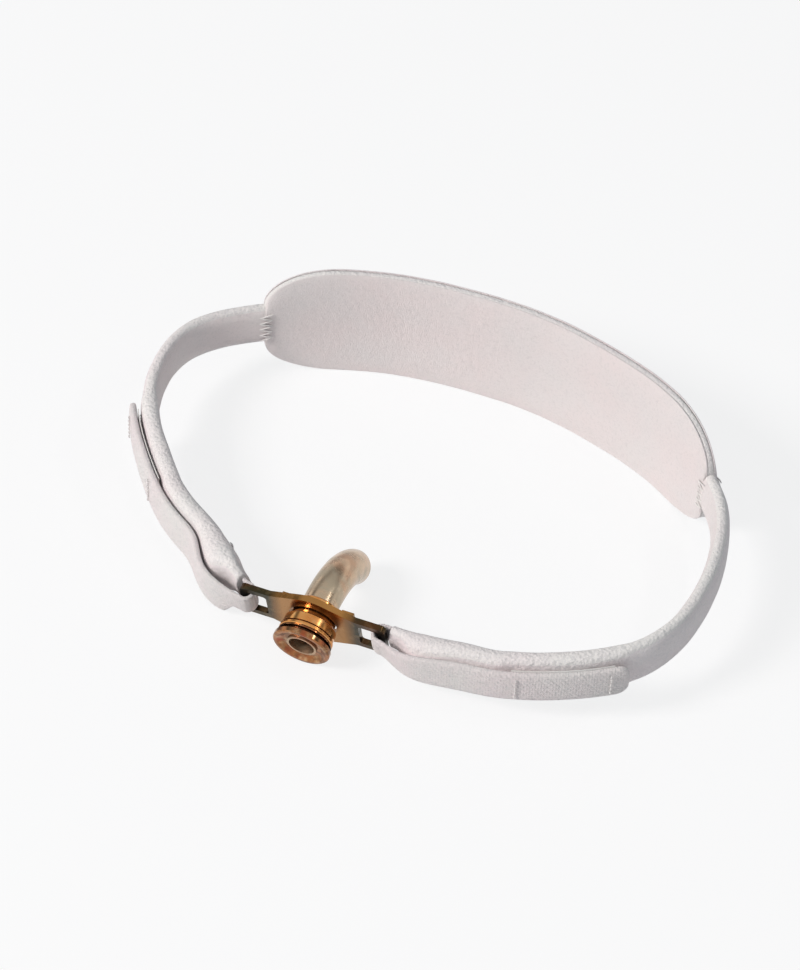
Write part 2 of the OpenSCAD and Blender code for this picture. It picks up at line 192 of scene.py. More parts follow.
half = FLOOR_SIZE / 2 * MM
floor_mesh = bpy.data.meshes.new("floor")
floor_mesh.from_pydata(
    [(x * half, y * half, FLOOR_Z * MM) for x, y in ((-1, -1), (1, -1), (1, 1), (-1, 1))],
    [], [(0, 1, 2, 3)])
floor = bpy.data.objects.new("floor", floor_mesh)
scene.collection.objects.link(floor)
floor_mesh.materials.append(floor_material())

world = bpy.data.worlds.new("studio")
scene.world = world
world.use_nodes = True
tree = world.node_tree
tree.nodes.clear()
upward = add(tree, "SeparateXYZ", None, {0: add(tree, "TexCoord").outputs["Generated"]})
ceiling = add(tree, "ValToRGB", None, {0: upward.outputs["Z"]})
shades = ceiling.color_ramp.elements
while len(shades) < len(CEILING):
    shades.new(0.5)
for stop, (rise, value) in zip(shades, CEILING):
    stop.position, stop.color = rise, rgb(value, value, value)
soft = add(tree, "Background", {"Color": rgb(0.84, 0.92, 1.0), "Strength": SKY})
backdrop = add(tree, "Background", {"Strength": 1.0}, {"Color": ceiling.outputs[0]})
both = add(tree, "MixShader", None,
           {0: light_path_mask(tree), 1: soft.outputs[0], 2: backdrop.outputs[0]})
add(tree, "OutputWorld", None, {"Surface": both.outputs[0]})
print("floor at", FLOOR_Z, "mm, backdrop shades:", len(CEILING))


# %% Lamps
def lamp(name, at, aim, size, watts, colour):
    """A soft light at a place, aimed at another; size is its width and height."""
    data = bpy.data.lights.new(name, "AREA")
    data.shape = "RECTANGLE"
    data.size, data.size_y = size[0] * MM, size[1] * MM
    data.energy = watts
    data.color = colour
    lamp_object = bpy.data.objects.new(name, data)
    scene.collection.objects.link(lamp_object)
    lamp_object.location = Vector(at) * MM
    lamp_object.rotation_euler = (Vector(aim) - Vector(at)).to_track_quat("-Z", "Y").to_euler()


KEY_WATTS, STRIP_WATTS = 27.0, 0.36
lamp("key", (-1040, -960, 1080), (0, 50, 0), (520, 520), KEY_WATTS, (1.0, 0.955, 0.93))
lamp("strip", (390, 130, 450), (0, 10, 0), (340, 46), STRIP_WATTS, (1.0, 0.98, 0.96))
print("lamps: key at the front left, narrow strip at the right")

# %% [markdown]
# ## The band as a path
#
# Everything soft follows one path: from the left bar of the plate, round the
# neck and back to the right bar. So the path is described once, as a smooth
# curve through a few plan points, with a frame at every distance along it: the
# middle point, the outward direction and the upward one.
# All sizes are in millimetres and turn into metres only in the mesh.

# %% Sizes of the band
PLATE_W, BAR_W, PLATE_T, LEAN = 38.6, 2.0, 1.6, 18.0
STRAP_H, STRAP_T, LEFT_L = 12.0, 4.6, 119.0
PAD_L, PAD_H, FOAM_T, SKIN_T, PAD_ROUND = 142.0, 33.0, 3.6, 0.8, 20.0
TAPE_T, TAPE_H, TAB_T = 1.3, 7.0, 2.0
HOOK_L, HOOK_T = 24.0, 0.8
# Room round a bar and between layers
AIR, SKIN_GAP = 0.3, 0.05
# How far a tape is sewn in, and how a strap's thin tip grows over it
TAPE_IN, TIP_S, TIP_T, TIP_FULL = 16.0, 3.0, 1.8, 4.2
# Lengths of a tab's bow and rounded end, and of the band's rise and lean
BOW_RUN, TAB_ROUND = 26.0, 2.5
RISE_RUN, LEAN_RUN = 100.0, 22.0
PAD_Z = FLOOR_Z + PAD_H / 2
BAR_X = (PLATE_W - BAR_W) / 2
LOOP_R = math.hypot(BAR_W / 2, PLATE_T / 2) + AIR + TAPE_T / 2
TAB_OFF = STRAP_T / 2 + AIR + HOOK_T + SKIN_GAP + TAB_T / 2
RING_POINTS = [
    (-32.7, 13), (-49.8, 25.2), (-67.8, 50.3), (-69, 76), (-51, 94), (-22, 106), (12, 108),
    (39, 102), (63, 90), (82, 69), (87.2, 39), (78.8, 14.6), (50, 0.8)]


class Side:
    """What differs between the two ends of the band."""

    def __init__(self, name, x, tab_l, bow, tab_h, drop, flare, widen, strap_widen):
        self.name, self.x = name, x
        self.tab_l, self.bow, self.tab_h, self.drop = tab_l, bow, tab_h, drop
        self.flare, self.widen, self.strap_widen = flare, widen, strap_widen

    def run(self, d):
        """Distance along the band of a place d from this side's bar."""
        return d if self.x < 0 else RING_L - d


LEFT = Side("left", -1, 68.0, 3.0, 10.4, 0.9, 2.4, 4.5, 7)
RIGHT = Side("right", 1, 60.0, 1.8, 8.8, 0.3, 0.0, 11, 22)
print("loop radius round each bar:", round(LOOP_R, 3), "mm")


# %% A smooth curve through the plan points
def clip(t):
    return min(1.0, max(0.0, t))


def ease(t):
    return clip(t) ** 2 * (3 - 2 * clip(t))


def mix(a, b, t):
    return a + (b - a) * t


def smooth_point(p, t):
    """Catmull-Rom curve between p[1] and p[2]."""
    return 0.5 * (2 * p[1] + (p[2] - p[0]) * t
                  + (2 * p[0] - 5 * p[1] + 4 * p[2] - p[3]) * t * t
                  + (3 * p[1] - p[0] - 3 * p[2] + p[3]) * t ** 3)


plan = [Vector(p) for p in
        [(-BAR_X + 8, LOOP_R), (-BAR_X, LOOP_R)] + RING_POINTS
        + [(BAR_X, LOOP_R), (BAR_X - 8, LOOP_R)]]
FINE = 40
fine = [smooth_point(plan[i:i + 4], k / FINE)
        for i in range(len(plan) - 3) for k in range(FINE)]
run = [0.0]
for a, b in zip(fine, fine[1:]):
    run.append(run[-1] + (b - a).length)
RING_L = run[-1]
RIGHT_L = RING_L - LEFT_L - PAD_L
PAD_A, PAD_B = LEFT_L, LEFT_L + PAD_L
print("band from bar to bar:", round(RING_L, 1), "mm, right strap", round(RIGHT_L, 1), "mm")


# %% Frames along the band
def plan_at(s):
    """Plan point at a distance along the band."""
    s = min(RING_L, max(0.0, s))
    low, high = 0, len(run) - 1
    while high - low > 1:
        middle = (low + high) // 2
        if run[middle] <= s:
            low = middle
        else:
            high = middle
    t = (s - run[low]) / (run[high] - run[low])
    return fine[low].lerp(fine[high], t)


def to_end(s):
    return min(s, RING_L - s)


def band_frame(s):
    """Middle point, outward and upward direction, s along the band."""
    p = plan_at(s)
    d = (plan_at(s + 1.5) - plan_at(s - 1.5)).normalized()
    a = math.radians(LEAN * (1 - ease(to_end(s) / LEAN_RUN)))
    n, z = Vector((-d.y, d.x, 0)), Vector((0, 0, 1))
    rise = PAD_Z * ease(to_end(s) / RISE_RUN)
    return (Vector((p.x, p.y * math.cos(a), p.y * math.sin(a) + rise)),
            n * math.cos(a) - z * math.sin(a), n * math.sin(a) + z * math.cos(a))


def turn_frame(side, degrees):
    """Frame of a tape on its turn round a bar; outward is away from the bar."""
    a, lean = math.radians(degrees), math.radians(LEAN)
    n = Vector((side * math.cos(a), -math.sin(a), 0))
    p = Vector((side * BAR_X, 0, 0)) - LOOP_R * n
    tip = Vector((0, -math.sin(lean), math.cos(lean)))
    return (Vector((p.x, p.y * math.cos(lean), p.y * math.sin(lean))),
            -Vector((n.x, n.y * math.cos(lean), n.y * math.sin(lean))), tip)


def spread(a, b, d):
    """Even steps from a to b, at most d apart."""
    n = max(1, math.ceil((b - a) / d))
    return [mix(a, b, i / n) for i in range(n + 1)]


print("the band's middle is", round(plan_at(RING_L / 2).y, 1), "mm behind the plate")


# %% [markdown]
# A soft flat strip has a cross-section with bulged faces and rounded edges.
# One helper draws that section and a second one skins a row of sections,
# with a UV map in millimetres so that a weave can follow the strip. Each
# face also remembers whether it is on the outside, the inside or the edge,
# because cut foam shows only at the edges.

# %% Sections and skins
OUTSIDE, INSIDE, EDGE = 0, 1, 2
LOWEST = FLOOR_Z + 0.02    # nothing goes through the table
SMOOTH_ANGLE = 60
END_RINGS = 3


def bulge(q, edge):
    """Share of the thickness that is left at height share q."""
    return edge + (1 - edge) * (1 - abs(q) ** 4)


def section(height, inner, outer, edge, rows=13, turn=5, drop=0.0):
    """(out, up, part) round a soft flat section, outside face first."""
    middle, half = (inner + outer) / 2, (outer - inner) / 2
    nose = half * edge * 0.7
    reach = height / 2 - nose
    qs = [-math.cos(math.pi * j / (rows - 1)) for j in range(rows)]
    points = []
    for way, part in ((1, OUTSIDE), (-1, INSIDE)):
        points += [(middle + way * half * bulge(q, edge), way * q * reach + drop, part)
                   for q in qs]
        points[-1] = points[-1][:2] + (EDGE,)
        for k in range(1, turn):
            a = math.pi * k / turn
            rim = reach + nose * math.sin(a)
            points.append((middle + way * half * edge * math.cos(a), way * rim + drop, EDGE))
    return points


def place(frame_at, points):
    """A section's points in space, on a frame of the band."""
    middle, out, up = frame_at
    return [middle + out * p[0] + up * p[1] for p in points]


def link(mesh, name, materials):
    """Puts a mesh in the scene as a smooth-shaded piece."""
    piece = bpy.data.objects.new(name, mesh)
    scene.collection.objects.link(piece)
    for material in materials:
        mesh.materials.append(material)
    for polygon in mesh.polygons:
        polygon.use_smooth = True
    mesh.set_sharp_from_angle(angle=math.radians(SMOOTH_ANGLE))
    return piece


def skin(name, rings, parts, materials, cap=EDGE):
    """A closed piece through a row of rings of points in millimetres."""
    rings = [[Vector((p.x, p.y, max(p.z, LOWEST))) for p in ring] for ring in rings]
    count = len(rings[0])
    centres = [sum(ring, Vector()) / count for ring in rings]
    along = [0.0]
    for a, b in zip(centres, centres[1:]):
        along.append(along[-1] + (b - a).length)
    middle = rings[len(rings) // 2]
    girth = [0.0]
    for j in range(count):
        girth.append(girth[-1] + (middle[(j + 1) % count] - middle[j]).length)
    shape = bmesh.new()
    uv = shape.loops.layers.uv.new("cloth")
    verts = [[shape.verts.new(p * MM) for p in ring] for ring in rings]
    for i in range(len(rings) - 1):
        for j in range(count):
            k = (j + 1) % count
            face = shape.faces.new((verts[i][j], verts[i][k], verts[i + 1][k], verts[i + 1][j]))
            face.material_index = parts[j]
            corners = ((i, j), (i, j + 1), (i + 1, j + 1), (i + 1, j))
            for loop, (u, v) in zip(face.loops, corners):
                loop[uv].uv = (along[u], girth[v])
    for end in (0, -1):
        face = shape.faces.new(verts[end])
        face.material_index = cap
        for loop in face.loops:
            loop[uv].uv = (loop.vert.co.x / MM, loop.vert.co.z / MM)
    bmesh.ops.recalc_face_normals(shape, faces=shape.faces)
    mesh = bpy.data.meshes.new(name)
    shape.to_mesh(mesh)
    shape.free()
    return link(mesh, name, materials)


def soften(rings, size, amount, seed):
    """Moves points a little, as hand-sewn foam is never quite even."""
    shift = Vector((seed * 17.3, seed * 5.1, seed * 9.7))
    return [[p + noise.noise_vector(p / size + shift) * amount for p in ring] for ring in rings]


def rounded_end(ring, forward, depth):
    """Smaller rings past the last one, so that a cut end isn't a sharp box."""
    centre = sum(ring, Vector()) / len(ring)
    rings = []
    for k in range(1, END_RINGS + 1):
        a = math.pi / 2 * k / (END_RINGS + 0.6)
        shrink = 1 - 0.16 * (1 - math.cos(a))
        rings.append([centre + (p - centre) * shrink + forward * depth * math.sin(a) for p in ring])
    return rings


print("section and skin helpers are ready")


# %% [markdown]
# ## Cloth, foam and thread finishes
#
# The band is white laminated foam: a brushed loop cloth outside, a soft
# napped lining inside and open foam at the cut edges. All of them need the
# same three effects, so each effect is a group that is built once: a tone
# that drifts a little over the surface, a nap of tiny fibres and a weave
# with painted shade in the gaps between its threads.

# %% Group: cloth tone
tone, tone_in, tone_out = new_group(
    "cloth_tone",
    [("Cloth", "Color", rgb(0.8, 0.76, 0.75)), ("Warm", "Color", rgb(0.82, 0.72, 0.71)),
     ("Shade", "Color", rgb(0.6, 0.6, 0.63)), ("Patch Size", "Float", 60.0),
     ("Stipple Size", "Float", 1500.0), ("Stipple", "Float", 0.25)],
    [("Color", "Color"), ("Mask", "Float")])
where = add(tone, "TexCoord").outputs["Object"]
patches = add(tone, "TexNoise", {"Detail": 3.0, "Roughness": 0.55},
              {"Vector": where, "Scale": tone_in.outputs["Patch Size"]})
soft_patch = add(tone, "MapRange", {"From Min": 0.35, "From Max": 0.68},
                 {"Value": patches.outputs["Fac"]})
drift = mix_colour(tone, soft_patch.outputs[0], tone_in.outputs["Cloth"], tone_in.outputs["Warm"])
specks = add(tone, "TexNoise", {"Detail": 4.0, "Roughness": 0.7},
             {"Vector": where, "Scale": tone_in.outputs["Stipple Size"]})
speck_mask = add(tone, "MapRange", {"From Min": 0.5, "From Max": 0.72},
                 {"Value": specks.outputs["Fac"]})
amount = maths(tone, "MULTIPLY", speck_mask.outputs[0], tone_in.outputs["Stipple"])
toned = mix_colour(tone, amount, drift, tone_in.outputs["Shade"])
tone.links.new(toned, tone_out.inputs["Color"])
tone.links.new(soft_patch.outputs[0], tone_out.inputs["Mask"])

# %% Group: nap
nap, nap_in, nap_out = new_group(
    "nap",
    [("Fibre Size", "Float", 1800.0), ("Clump Size", "Float", 500.0), ("Clumps", "Float", 0.5)],
    [("Height", "Float")])
where = add(nap, "TexCoord").outputs["Object"]
fibres = add(nap, "TexNoise", {"Detail": 5.0, "Roughness": 0.75, "Distortion": 0.6},
             {"Vector": where, "Scale": nap_in.outputs["Fibre Size"]})
clumps = add(nap, "TexVoronoi", None, {"Vector": where, "Scale": nap_in.outputs["Clump Size"]},
             feature="SMOOTH_F1")
clump_height = maths(nap, "MULTIPLY", maths(nap, "SUBTRACT", 1.0, clumps.outputs["Distance"]),
                     nap_in.outputs["Clumps"])
nap.links.new(maths(nap, "ADD", fibres.outputs["Fac"], clump_height), nap_out.inputs["Height"])

# %% Group: weave
weave, weave_in, weave_out = new_group(
    "weave", [("Pitch", "Float", 0.7)], [("Height", "Float"), ("Gap Shade", "Float")])
where = add(weave, "TexCoord").outputs["UV"]
split = add(weave, "SeparateXYZ", None, {"Vector": where})
warp, weft = (maths(weave, "DIVIDE", split.outputs[axis], weave_in.outputs["Pitch"])
              for axis in "XY")
ridge_a, ridge_b = (
    maths(weave, "ABSOLUTE", maths(weave, "SINE", maths(weave, "MULTIPLY", way, math.pi)))
    for way in (warp, weft))
cell = maths(weave, "ADD", maths(weave, "FLOOR", warp), maths(weave, "FLOOR", weft))
over = maths(weave, "ABSOLUTE", maths(weave, "MODULO", cell, 2.0))
height = add(weave, "Mix", None, {0: over, 2: ridge_a, 3: ridge_b}, data_type="FLOAT")
weave.links.new(height.outputs[0], weave_out.inputs["Height"])
# Painted shade: where the threads dip, the gaps darken the colour.
weave.links.new(maths(weave, "SUBTRACT", 1.0, maths(weave, "MAXIMUM", ridge_a, ridge_b)),
                weave_out.inputs["Gap Shade"])
print("shared cloth effects:", [t.name for t in (tone, nap, weave)])


# %% Cloth materials
def use(tree, group, values=None, links=None):
    """Places a shared group in a material."""
    return add(tree, "Group", values, links, node_tree=group)


def blank(name):
    """A material with only its shader and its output."""
    material = bpy.data.materials.new(name)
    material.use_nodes = True
    tree = material.node_tree
    tree.nodes.clear()
    shader = add(tree, "BsdfPrincipled")
    add(tree, "OutputMaterial", None, {"Surface": shader.outputs[0]})
    return material, tree, shader


def cloth_material(name, cloth, warm, shade, stipple, stipple_size, fibre, clump,
                   clumps, depth, sheen, woven=0.0, ribs=1.0, roughness=0.9):
    """Napped or woven cloth: drifting tone, fibre bump and a soft sheen."""
    material, tree, shader = blank(name)
    colour = use(tree, tone, {"Cloth": cloth, "Warm": warm, "Shade": shade,
                              "Stipple": stipple, "Stipple Size": stipple_size})
    fibres = use(tree, nap, {"Fibre Size": fibre, "Clump Size": clump, "Clumps": clumps})
    height = fibres.outputs["Height"]
    base = colour.outputs["Color"]
    if woven:
        threads = use(tree, weave, {"Pitch": woven})
        ribbed = maths(tree, "MULTIPLY", threads.outputs["Height"], ribs)
        height = maths(tree, "ADD", ribbed, height)
        # Painted shade in the gaps between threads, towards the shade colour.
        gap_shade = maths(tree, "MULTIPLY", threads.outputs["Gap Shade"], 0.5 * ribs)
        base = mix_colour(tree, gap_shade, base, shade)
    tree.links.new(base, shader.inputs["Base Color"])
    bump = add(tree, "Bump", {"Strength": 0.85, "Distance": depth * MM}, {"Height": height})
    tree.links.new(bump.outputs[0], shader.inputs["Normal"])
    rough = add(tree, "MapRange", {"To Min": roughness - 0.08, "To Max": roughness + 0.06},
                {"Value": fibres.outputs["Height"]})
    tree.links.new(rough.outputs[0], shader.inputs["Roughness"])
    shader.inputs["Sheen Weight"].default_value = sheen
    shader.inputs["Sheen Roughness"].default_value = 0.6
    shader.inputs["Specular IOR Level"].default_value = 0.2
    return material


cover_cloth = cloth_material(
    "cover_cloth", rgb(0.80, 0.755, 0.745), rgb(0.83, 0.735, 0.735), rgb(0.52, 0.53, 0.57),
    0.34, 1500.0, 2000.0, 900.0, 0.8, 0.35, 0.25)
lining_cloth = cloth_material(
    "lining_cloth", rgb(0.775, 0.725, 0.71), rgb(0.80, 0.715, 0.70), rgb(0.60, 0.56, 0.55),
    0.42, 1300.0, 2300.0, 700.0, 0.35, 0.28, 0.3)
foam = cloth_material(
    "foam", rgb(0.82, 0.80, 0.77), rgb(0.83, 0.77, 0.755), rgb(0.5, 0.5, 0.54),
    0.5, 2100.0, 1500.0, 1300.0, 1.3, 0.3, 0.1)
tape = cloth_material(
    "tape", rgb(0.79, 0.745, 0.735), rgb(0.82, 0.73, 0.72), rgb(0.50, 0.51, 0.54),
    0.3, 1700.0, 2300.0, 1100.0, 0.4, 0.22, 0.2, woven=0.62)
tab_cloth = cloth_material(
    "tab_cloth", rgb(0.765, 0.735, 0.71), rgb(0.79, 0.705, 0.70), rgb(0.50, 0.53, 0.52),
    0.38, 1100.0, 1900.0, 800.0, 0.8, 0.35, 0.25, woven=0.7, ribs=0.3)
thread = cloth_material(
    "thread", rgb(0.84, 0.82, 0.79), rgb(0.83, 0.78, 0.77), rgb(0.66, 0.63, 0.61),
    0.2, 2600.0, 3600.0, 2400.0, 0.6, 0.1, 0.15, woven=0.32, ribs=0.6)

# %% Hook plastic
hook, hook_tree, hook_shader = blank("hook")
hook_colour = use(hook_tree, tone, {
    "Cloth": rgb(0.74, 0.74, 0.72), "Warm": rgb(0.71, 0.69, 0.66),
    "Shade": rgb(0.5, 0.5, 0.5), "Stipple": 0.2})
hook_tree.links.new(hook_colour.outputs["Color"], hook_shader.inputs["Base Color"])
hook_wear = add(hook_tree, "MapRange", {"To Min": 0.38, "To Max": 0.55},
                {"Value": hook_colour.outputs["Mask"]})
hook_tree.links.new(hook_wear.outputs[0], hook_shader.inputs["Roughness"])
print("cloth, foam, thread and hook finishes are ready")


# %% [markdown]
# ## Metal finishes
#
# The plate, the collars and the tubes are copper-rich brass. Handling keeps
# the edges bright, the recesses are darkened with a dark red film and painted
# shade, and the colour drifts from orange to olive. One group mixes these from
# a few noises, and each metal feeds it with its own colours. The painted shade
# and film in the recesses come from how closed-in a point is.

# %% Group: metal tone
patina, patina_in, patina_out = new_group(
    "metal_tone",
    [("Metal", "Color", rgb(0.6, 0.3, 0.1)), ("Patch", "Color", rgb(0.5, 0.35, 0.15)),
     ("Blush", "Color", rgb(0.4, 0.1, 0.04)), ("Film", "Color", rgb(0.1, 0.05, 0.02)),
     ("Bright", "Color", rgb(0.9, 0.7, 0.4)), ("Closed In", "Float", 0.0),
     ("Patch Size", "Float", 220.0), ("Rubbed", "Float", 0.3)],
    [("Color", "Color"), ("Wear", "Float"), ("Grain", "Float")])
where = add(patina, "TexCoord").outputs["Object"]
clouds = add(patina, "TexNoise", {"Detail": 4.0, "Roughness": 0.6, "Distortion": 0.8},
             {"Vector": where, "Scale": patina_in.outputs["Patch Size"]})
cloud_mask = add(patina, "MapRange", {"From Min": 0.4, "From Max": 0.6},
                 {"Value": clouds.outputs["Fac"]})
metal = mix_colour(patina, cloud_mask.outputs[0], patina_in.outputs["Metal"],
                   patina_in.outputs["Patch"])
stain_size = maths(patina, "MULTIPLY", patina_in.outputs["Patch Size"], 0.6)
stains = add(patina, "TexNoise", {"Detail": 3.0, "Roughness": 0.5, "Distortion": 1.2},
             {"Vector": where, "Scale": stain_size})
stain_mask = add(patina, "MapRange", {"From Min": 0.52, "From Max": 0.72, "To Max": 0.75},
                 {"Value": stains.outputs["Fac"]})
stained = mix_colour(patina, stain_mask.outputs[0], metal, patina_in.outputs["Blush"])
rubs = add(patina, "TexNoise", {"Scale": 420.0, "Detail": 5.0, "Roughness": 0.6},
           {"Vector": where})
rub_mask = add(patina, "MapRange", {"From Min": 0.5, "From Max": 0.75},
               {"Value": rubs.outputs["Fac"], "To Max": patina_in.outputs["Rubbed"]})
rubbed = mix_colour(patina, rub_mask.outputs[0], stained, patina_in.outputs["Bright"])
# Painted shade and a dark film: closed-in recesses darken towards their colour.
film_and_shade = add(patina, "MapRange", {"From Min": 0.3, "From Max": 0.8},
           {"Value": patina_in.outputs["Closed In"]})
shaded_recesses = mix_colour(patina, film_and_shade.outputs[0], rubbed, patina_in.outputs["Film"])
grain = add(patina, "TexNoise", {"Scale": 3200.0, "Detail": 3.0}, {"Vector": where})
patina.links.new(shaded_recesses, patina_out.inputs["Color"])
patina.links.new(maths(patina, "ADD", cloud_mask.outputs[0],
                       maths(patina, "MULTIPLY", film_and_shade.outputs[0], 0.8)), patina_out.inputs["Wear"])
patina.links.new(grain.outputs["Fac"], patina_out.inputs["Grain"])
print("shared metal effect:", patina.name)

# %% [markdown]
# The plate is dark out on its wings, with a painted dark reflection, and
# warm round its middle. The other pieces have one set of colours all over.
# The inner tube is rougher than the rest, so that light spreads into its bore.

# %% Metal materials
WARM_FROM, WARM_FULL, WARM_SHARE = 11.5, 8, 0.8


def metal_material(name, colours, polish, recess, size=220.0, rubbed=0.3, middle=None):
    """Handled metal; polish is its lowest roughness, recess the reach of the painted shade and
    film.

    A middle colour, if there is one, takes over near the plate's middle.
    """
    material, tree, shader = blank(name)
    # How closed-in a point is, which sets where painted shade darkens the recesses.
    closed = add(tree, "AmbientOcclusion", {"Distance": recess * MM}, samples=8)
    values = dict(zip(("Metal", "Patch", "Blush", "Film", "Bright"), colours))
    tones = use(tree, patina, {**values, "Patch Size": size, "Rubbed": rubbed},
                {"Closed In": maths(tree, "SUBTRACT", 1.0, closed.outputs["AO"])})
    colour = tones.outputs["Color"]
    if middle:
        place_at = add(tree, "SeparateXYZ", None, {0: add(tree, "TexCoord").outputs["Object"]})
        near = add(tree, "MapRange", {"From Min": WARM_FROM * MM, "From Max": WARM_FULL * MM,
                                      "To Max": WARM_SHARE},
                   {"Value": maths(tree, "ABSOLUTE", place_at.outputs["X"])})
        colour = mix_colour(tree, near.outputs[0], colour, middle)
    tree.links.new(colour, shader.inputs["Base Color"])
    rough = add(tree, "MapRange", {"To Min": polish, "To Max": polish + 0.16},
                {"Value": tones.outputs["Wear"]})
    tree.links.new(rough.outputs[0], shader.inputs["Roughness"])
    bump = add(tree, "Bump", {"Strength": 0.2, "Distance": 0.02 * MM},
               {"Height": tones.outputs["Grain"]})
    tree.links.new(bump.outputs[0], shader.inputs["Normal"])
    shader.inputs["Metallic"].default_value = 1.0
    return material


# The fourth colour of each metal is the dark film and painted shade in its recesses.
# The plate's colours are very dark, a painted dark reflection, and warm round its middle.
plate_metal = metal_material(
    "plate_metal", (rgb(0.062, 0.046, 0.02), rgb(0.036, 0.034, 0.021), rgb(0.11, 0.04, 0.018),
                    rgb(0.02, 0.014, 0.01), rgb(0.45, 0.31, 0.15)), 0.2, 2.4, 160.0, 0.25,
    middle=rgb(0.46, 0.22, 0.065))
drum_metal = metal_material(
    "drum_metal", (rgb(0.70, 0.34, 0.11), rgb(0.62, 0.25, 0.07), rgb(0.66, 0.40, 0.15),
                   rgb(0.07, 0.02, 0.014), rgb(0.92, 0.66, 0.38)), 0.12, 2.2, 200.0, 0.3)
rim_metal = metal_material(
    "rim_metal", (rgb(0.36, 0.15, 0.06), rgb(0.20, 0.095, 0.045), rgb(0.30, 0.04, 0.022),
                  rgb(0.04, 0.012, 0.01), rgb(0.95, 0.72, 0.42)), 0.1, 2.8, 300.0, 0.4)
tube_metal = metal_material(
    "tube_metal", (rgb(0.56, 0.40, 0.27), rgb(0.46, 0.38, 0.275), rgb(0.54, 0.32, 0.20),
                   rgb(0.16, 0.07, 0.045), rgb(0.75, 0.62, 0.48)), 0.18, 2.0, 150.0, 0.22)
bore_metal = metal_material(
    "bore_metal", (rgb(0.50, 0.34, 0.22), rgb(0.40, 0.31, 0.21), rgb(0.50, 0.22, 0.12),
                   rgb(0.34, 0.18, 0.10), rgb(0.8, 0.66, 0.5)), 0.4, 1.2, 180.0, 0.3)

# %% Metal on its pieces
METAL_OF = {
    "neck_plate": plate_metal, "tube_collar": drum_metal, "pivot_screws": drum_metal,
    "inner_collar": rim_metal, "outer_tube": tube_metal, "inner_tube": bore_metal}
for name, material in METAL_OF.items():
    mesh = nodes[name].data
    if not mesh.materials:
        mesh.materials.append(material)
    for i in range(len(mesh.materials)):
        mesh.materials[i] = material
print("metal finishes on", len(METAL_OF), "pieces")


# %% [markdown]
# ## The pad's foam
#
# The pad is a long leaf of foam between two cloths. Foam that is sewn down
# round its rim swells between the seams. So a plain blank of the foam is
# puffed up as cloth with air inside it, with its rim pinned. Here the air
# moves it by little more than a tenth of a millimetre. The blank is then
# measured on a fine grid. Most of its heights fall below the lower limit and
# are set to that: the plain section's height less 0.2 mm. The foam and its two
# cloths are all built on these heights, so that they lie on each other with
# no gap.

# %% The pad's outline
def pad_in(s):
    return clip(min(s - PAD_A, PAD_B - s) / PAD_ROUND)


def pad_height(s):
    return mix(STRAP_H, PAD_H, math.sqrt(1 - (1 - pad_in(s)) ** 2))


def pad_foam(s):
    return mix(STRAP_T - 2 * SKIN_T - 2 * SKIN_GAP, FOAM_T, pad_in(s))


def pad_steps(d):
    """Distances along the pad, closer together where its ends round off."""
    ends = [PAD_ROUND * (1 - math.cos(math.radians(a))) for a in range(0, 85, 7)]
    return ([PAD_A + e for e in ends] + spread(PAD_A + PAD_ROUND, PAD_B - PAD_ROUND, d)
            + [PAD_B - e for e in reversed(ends)])


RIM = 0.62      # share of the foam's thickness at its rim
SLACK = 0.86    # the blank starts thinner, so that it can swell
stations = pad_steps(2.0)
blank_rings = []
for s in stations:
    slack = SLACK if 2 < s - PAD_A < PAD_L - 2 else 1.0
    half = pad_foam(s) / 2 * slack
    blank_rings.append(place(
        band_frame(s), section(pad_height(s), -half, half, RIM, rows=21)))
pad_blank = skin("pad_blank", blank_rings, [0] * len(blank_rings[0]), [foam], cap=0)
print("pad blank:", len(blank_rings), "sections of", len(blank_rings[0]), "points")


# %% Puff the blank up
VOXEL, PRESSURE, SWELL_CAP, SWELL_STEPS = 1.3, 4.0, 0.6, 20
STRETCH_STIFF, BEND_STIFF = 12, 0.6
SEWN_FROM, SEWN_RUN = 0.8, 0.12    # where the rim's stitching takes hold


def puff(piece, voxel, pressure, cap, pinned):
    """Swells a closed piece as cloth with air in it, and keeps the result."""
    remesh = piece.modifiers.new("remesh", "REMESH")
    remesh.mode = "VOXEL"
    remesh.voxel_size = voxel * MM
    bpy.context.view_layer.objects.active = piece
    bpy.ops.object.modifier_apply(modifier="remesh")
    mesh = piece.data
    start = [v.co.copy() for v in mesh.vertices]
    group = piece.vertex_groups.new(name="sewn_rim")
    for v in mesh.vertices:
        group.add([v.index], pinned(v.co / MM), "REPLACE")
    cloth = piece.modifiers.new("air", "CLOTH")
    settings = cloth.settings
    settings.use_pressure = True
    settings.uniform_pressure_force = pressure
    settings.vertex_group_mass = "sewn_rim"
    settings.tension_stiffness = settings.compression_stiffness = STRETCH_STIFF
    settings.bending_stiffness = BEND_STIFF
    settings.effector_weights.gravity = 0
    for step in range(1, SWELL_STEPS + 1):
        scene.frame_set(step)
    swollen = piece.evaluated_get(bpy.context.evaluated_depsgraph_get()).data
    moved = [v.co.copy() for v in swollen.vertices]
    piece.modifiers.remove(cloth)
    scene.frame_set(1)
    most = 0.0
    for v, a, b in zip(mesh.vertices, start, moved):
        step = b - a
        most = max(most, step.length)
        if step.length > cap * MM:
            step = step.normalized() * cap * MM
        v.co = a + step
    piece.vertex_groups.clear()
    print("swelled by up to", round(most / MM, 2), "mm, kept to", cap, "mm")


station_points = [(s, band_frame(s)) for s in stations]


def rim_pin(p):
    """1 on the sewn rim, 0 where the foam is free to swell."""
    s, (middle, out, up) = min(station_points, key=lambda f: (f[1][0] - p).length_squared)
    q = abs((p - middle).dot(up)) / (pad_height(s) / 2)
    side = min(s - PAD_A, PAD_B - s)
    return max(clip((q - SEWN_FROM) / SEWN_RUN), 1 - clip((side - 1) / 3))


puff(pad_blank, VOXEL, PRESSURE, SWELL_CAP, rim_pin)

